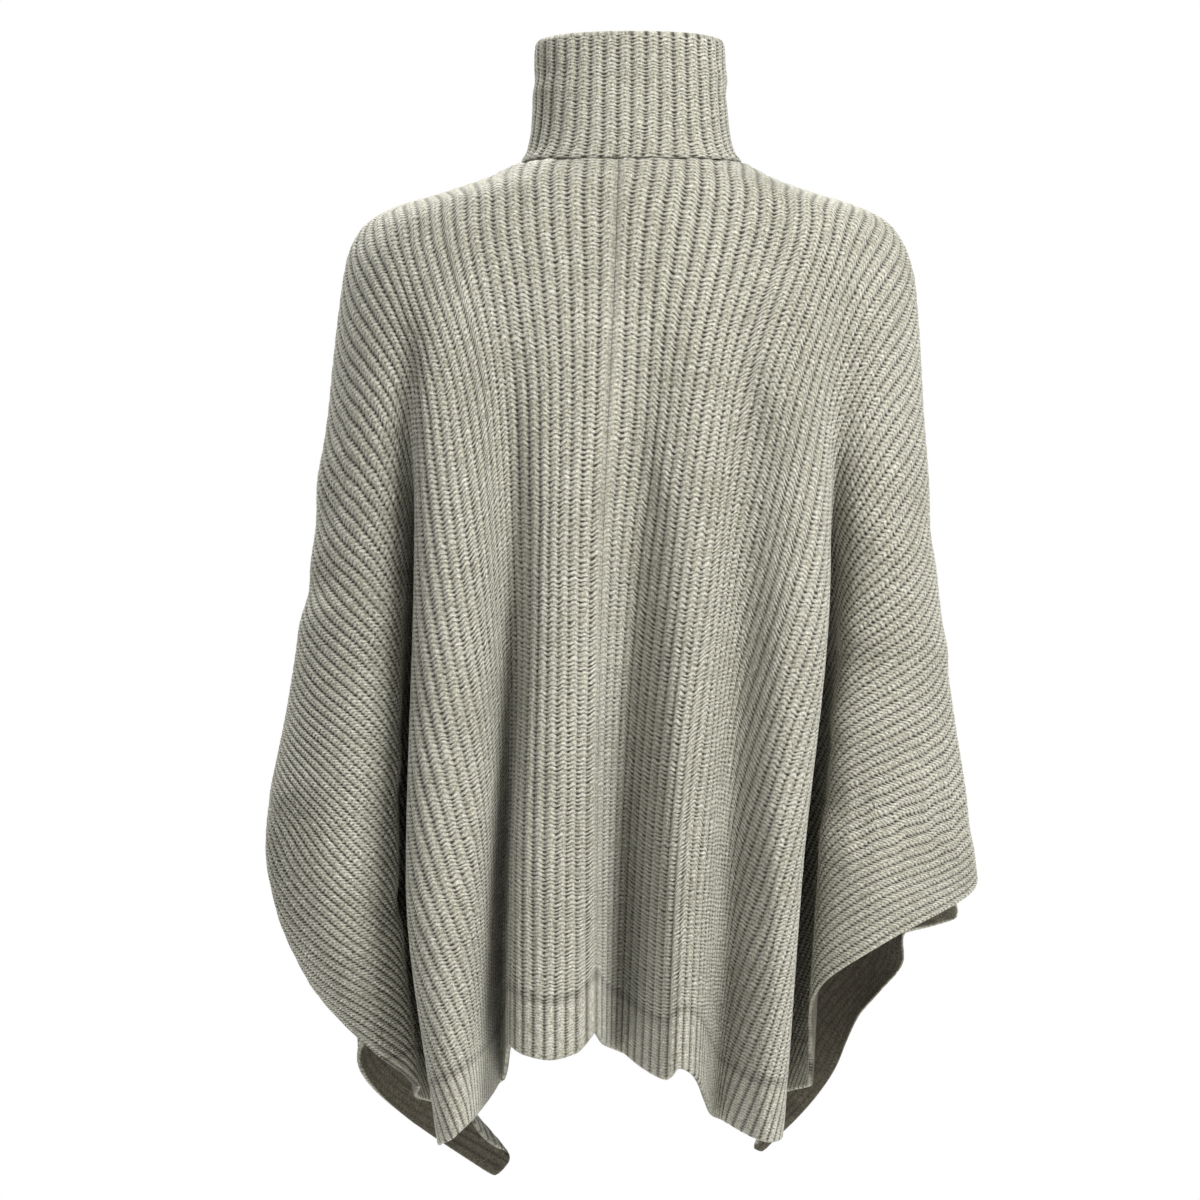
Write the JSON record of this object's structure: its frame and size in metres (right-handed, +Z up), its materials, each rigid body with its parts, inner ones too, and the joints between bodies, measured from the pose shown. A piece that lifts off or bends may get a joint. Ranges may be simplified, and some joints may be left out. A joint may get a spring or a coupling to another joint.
{
  "type": "zip-up knitted poncho sweater",
  "caption": "Poncho-cut zip-up sweater in chunky ribbed knit, with a stand-up funnel collar, wide draped sleeves and an uneven hem, filled out as worn.",
  "frame": {"origin": "middle of the wearer's neck, level with the collar seam", "axes": "+Z up along the neck, -Y towards the garment's front, +X to the wearer's left"},
  "size_m": [0.5739, 0.2846, 0.9321],
  "materials": {
    "wool_knit": "soft matt melange wool, chunky half-cardigan rib",
    "zip_tape": "woven polyester tape, matt",
    "zip_metal": "satin nickel-plated"
  },
  "bodies": {
    "garment": {"back_left": "wool_knit", "back_right": "wool_knit", "front_left": "wool_knit", "front_right": "wool_knit", "collar": "wool_knit", "zip_tape_left": "zip_tape", "zip_tape_right": "zip_tape", "zip_teeth_left": "zip_metal", "zip_teeth_right": "zip_metal", "top_stop_left": "zip_metal", "top_stop_right": "zip_metal", "box_left": "zip_metal", "pin_right": "zip_metal", "slider": "zip_metal"},
    "pull_tab": {"pull_tab": "zip_metal"}
  },
  "joints": [
    {"name": "pull_tab_swing", "type": "hinge", "parent": "garment", "child": "pull_tab", "pos_m": [0, -0.058, 0.083], "axis": [-1, 0, 0], "range_deg": [0, 170]}
  ]
}
